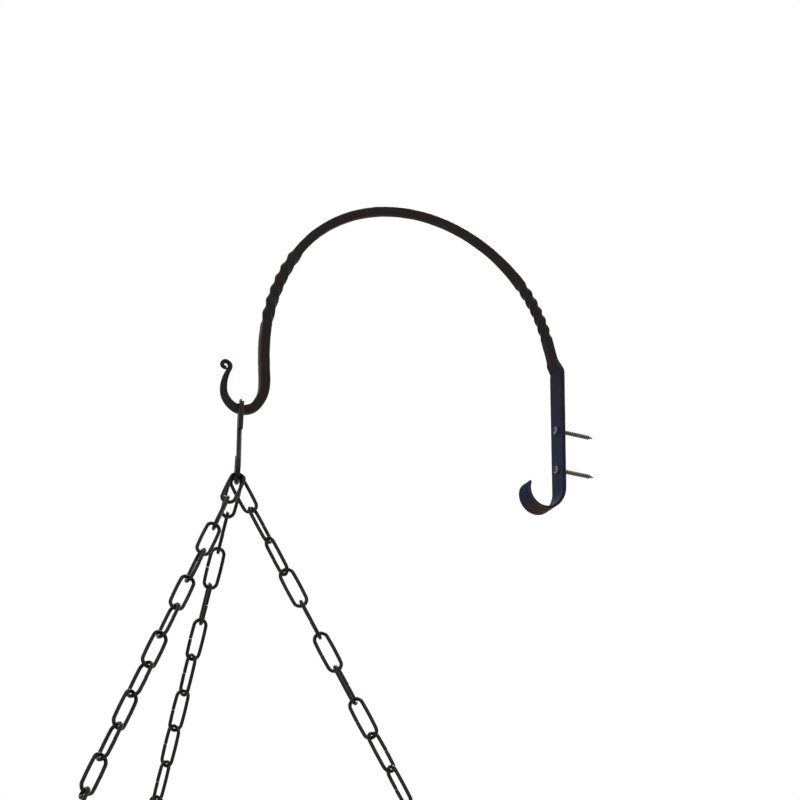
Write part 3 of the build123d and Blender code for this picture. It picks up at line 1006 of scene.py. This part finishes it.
def screw_paint():
    """Zinc-plated steel screw, its head painted grey."""
    # grey satin, darker and browner where the paint is thin
    material, tree, shader, place = new_finish("painted_screw_head")
    finish = settings().finishes
    # chips and thin paint
    thin = add_node(tree, "ShaderNodeTexNoise",
                    {"Scale": per_metre(1.5), "Detail": 3.0, "Roughness": 0.6}, {"Vector": place})
    worn = worn_colour(tree, thin.outputs["Fac"], 0.5, 0.8, 0.5,
                       (finish.screw, finish.iron_rub))
    bump = add_node(tree, "ShaderNodeBump", {"Strength": 0.2, "Distance": 0.00015},
                    {"Height": thin.outputs["Fac"]})
    set_node(tree, shader, {"Metallic": 0.2, "Roughness": 0.42},
             {"Base Color": worn, "Normal": bump.outputs["Normal"]})
    return material


def zinc_plating():
    """Zinc-plated steel thread, dulled in the drum."""
    # grey metal with a broken, soft shine
    material, tree, shader, place = new_finish("zinc_plated_thread")
    finish = settings().finishes
    # dull and bright spangles
    spangle = add_node(tree, "ShaderNodeTexNoise",
                       {"Scale": per_metre(1.0), "Detail": 2.0, "Roughness": 0.6},
                       {"Vector": place})
    tint = add_node(tree, "ShaderNodeMix",
                    {"data_type": "RGBA", colour_a: opaque(finish.plating),
                     colour_b: opaque(finish.iron_rub)}, {"Factor": spangle.outputs["Fac"]})
    set_node(tree, shader, {"Metallic": 0.9, "Roughness": 0.45},
             {"Base Color": tint.outputs[colour_out]})
    return material


def painted_head_shade():
    """Painted shade in a screw's recess and painted shadow against its rim."""
    # flat and almost black
    material, tree, shader, place = new_finish("painted_head_shade")
    finish = settings().finishes
    shade_mottle = add_node(tree, "ShaderNodeTexNoise",
                    {"Scale": per_metre(0.4), "Detail": 1.0, "Roughness": 0.5}, {"Vector": place})
    tint = add_node(tree, "ShaderNodeMix",
                    {"data_type": "RGBA", colour_a: opaque(finish.recess),
                     colour_b: opaque(finish.iron)}, {"Factor": shade_mottle.outputs["Fac"]})
    set_node(tree, shader, {"Roughness": 0.9}, {"Base Color": tint.outputs[colour_out]})
    return material


def pale_floor():
    """Matt pale studio floor, open from below so that a low camera sees past it."""
    material, tree, shader, _ = new_finish("pale_studio_floor")
    # matt and even, it only takes the shadow
    set_node(tree, shader,
             {"Base Color": opaque(settings().finishes.floor), "Roughness": 0.9})
    side = add_node(tree, "ShaderNodeNewGeometry")
    clear = add_node(tree, "ShaderNodeBsdfTransparent")
    shown = add_node(tree, "ShaderNodeMixShader", (),
                     {"Fac": side.outputs["Backfacing"], 1: shader.outputs["BSDF"],
                      2: clear.outputs["BSDF"]})
    output = next(node for node in tree.nodes if node.type == "OUTPUT_MATERIAL")
    tree.links.new(shown.outputs["Shader"], output.inputs["Surface"])
    return material


def area_lamp(name, watts, size, place, tint):
    """A square lamp that points at the middle of the arch."""
    data = bpy.data.lights.new(name, "AREA")
    data.energy = watts
    data.shape = "SQUARE"
    data.size = size
    data.color = tint
    lamp = add_object(name, data)
    lamp.location = place
    lamp.rotation_mode = "QUATERNION"
    middle = Vector((0.0, -0.22, 0.0))
    lamp.rotation_quaternion = (middle - Vector(place)).to_track_quat("-Z", "Y")


def white_surroundings(soft):
    """Plain white for camera, reflections and glass, and a softer light on the object."""
    world = bpy.data.worlds.new("white_surroundings")
    world.use_nodes = True
    tree = world.node_tree
    tree.nodes.clear()
    path = add_node(tree, "ShaderNodeLightPath")
    shown = add_node(tree, "ShaderNodeMath", {"operation": "MAXIMUM"},
                     {0: path.outputs["Is Camera Ray"], 1: path.outputs["Is Glossy Ray"]})
    shown_all = add_node(tree, "ShaderNodeMath", {"operation": "MAXIMUM"},
                         {0: shown.outputs["Value"], 1: path.outputs["Is Transmission Ray"]})
    strength = add_node(tree, "ShaderNodeMapRange",
                        {"From Min": 0.0, "From Max": 1.0, "To Min": soft, "To Max": 1.0},
                        {"Value": shown_all.outputs["Value"]})
    white = add_node(tree, "ShaderNodeBackground", {"Color": (1.0, 1.0, 1.0, 1.0)},
                     {"Strength": strength.outputs["Result"]})
    add_node(tree, "ShaderNodeOutputWorld", (), {"Surface": white.outputs["Background"]})
    return world


def set_camera(scene, studio):
    """The camera at the photo's angle, a little rolled."""
    azimuth, elevation, roll = studio.azimuth, studio.elevation, studio.roll
    back = Vector((math.sin(azimuth) * math.cos(elevation),
                   -math.cos(azimuth) * math.cos(elevation), math.sin(elevation)))
    level = Vector((0.0, 0.0, 1.0)).cross(back).normalized()
    upright = back.cross(level)
    right = level * math.cos(roll) + upright * math.sin(roll)
    up = upright * math.cos(roll) - level * math.sin(roll)
    data = bpy.data.cameras.new("photo_camera")
    data.lens = studio.lens
    data.sensor_width = 36.0
    data.clip_start = 0.05
    data.clip_end = 50.0
    camera = add_object("photo_camera", data)
    camera.matrix_world = axes_at(Vector(studio.aim) + back * studio.distance, right, up, back)
    scene.camera = camera


class BRACKET_OT_studio(bpy.types.Operator):
    """Set the floor, the lamps, the white surroundings and the camera"""

    bl_idname = "plant_bracket.studio"
    bl_label = "Studio"

    def execute(self, context):
        studio = settings().studio
        context.scene.view_settings.view_transform = "Standard"
        context.scene.world = white_surroundings(studio.around)

        mesh = bpy.data.meshes.new("studio_floor")
        reach = 12.0
        mesh.from_pydata([(-reach, -reach, 0), (reach, -reach, 0), (reach, reach, 0),
                          (-reach, reach, 0)], [], [(0, 1, 2, 3)])
        mesh.materials.append(pale_floor())
        floor = add_object("studio_floor", mesh)
        floor.location = (0.0, 0.0, studio.floor_height)

        # a warm lamp high behind the arm, a cool one on the camera's side
        area_lamp("key_lamp", studio.key, 0.8, (-0.8, 0.58, 1.8), (1.0, 0.91, 0.76))
        area_lamp("fill_lamp", studio.fill, 1.6, (2.0, -1.6, 0.2), (0.92, 0.96, 1.0))
        set_camera(context.scene, studio)
        return {"FINISHED"}


class PlantBracketSettings(bpy.types.PropertyGroup):
    """Everything that a user would change"""

    forging: PointerProperty(type=ForgingSettings)
    wires: PointerProperty(type=WireSettings)
    screws: PointerProperty(type=ScrewSettings)
    finishes: PointerProperty(type=FinishSettings)
    studio: PointerProperty(type=StudioSettings)


class BRACKET_PT_panel(bpy.types.Panel):
    """Sizes, colours and buttons of the plant bracket"""

    bl_idname = "BRACKET_PT_panel"
    bl_label = "Plant Bracket"
    bl_space_type = "VIEW_3D"
    bl_region_type = "UI"
    bl_category = "Plant Bracket"

    def draw(self, context):
        layout = self.layout
        for operator in operators:
            layout.operator(operator.bl_idname)
        whole = context.scene.plant_bracket
        for name in ("forging", "wires", "screws", "finishes", "studio"):
            box = layout.box()
            box.label(text=name.capitalize())
            group = getattr(whole, name)
            for key in group.__annotations__:
                box.prop(group, key)


operators = (
    BRACKET_OT_studio,
    BRACKET_OT_forging,
    BRACKET_OT_screws,
    BRACKET_OT_s_hook,
    BRACKET_OT_chains,
    BRACKET_OT_end_hooks,
)
classes = (ForgingSettings, WireSettings, ScrewSettings, FinishSettings, StudioSettings,
           PlantBracketSettings, *operators, BRACKET_PT_panel)


def register():
    for item in classes:
        bpy.utils.register_class(item)
    bpy.types.Scene.plant_bracket = PointerProperty(type=PlantBracketSettings)


def unregister():
    del bpy.types.Scene.plant_bracket
    for item in reversed(classes):
        bpy.utils.unregister_class(item)


def main():
    """Registers the add-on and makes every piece."""
    register()
    bpy.ops.plant_bracket.studio()
    bpy.ops.plant_bracket.forging()
    bpy.ops.plant_bracket.screws()
    bpy.ops.plant_bracket.s_hook()
    bpy.ops.plant_bracket.chains()
    bpy.ops.plant_bracket.end_hooks()


if __name__ == "__main__":
    main()
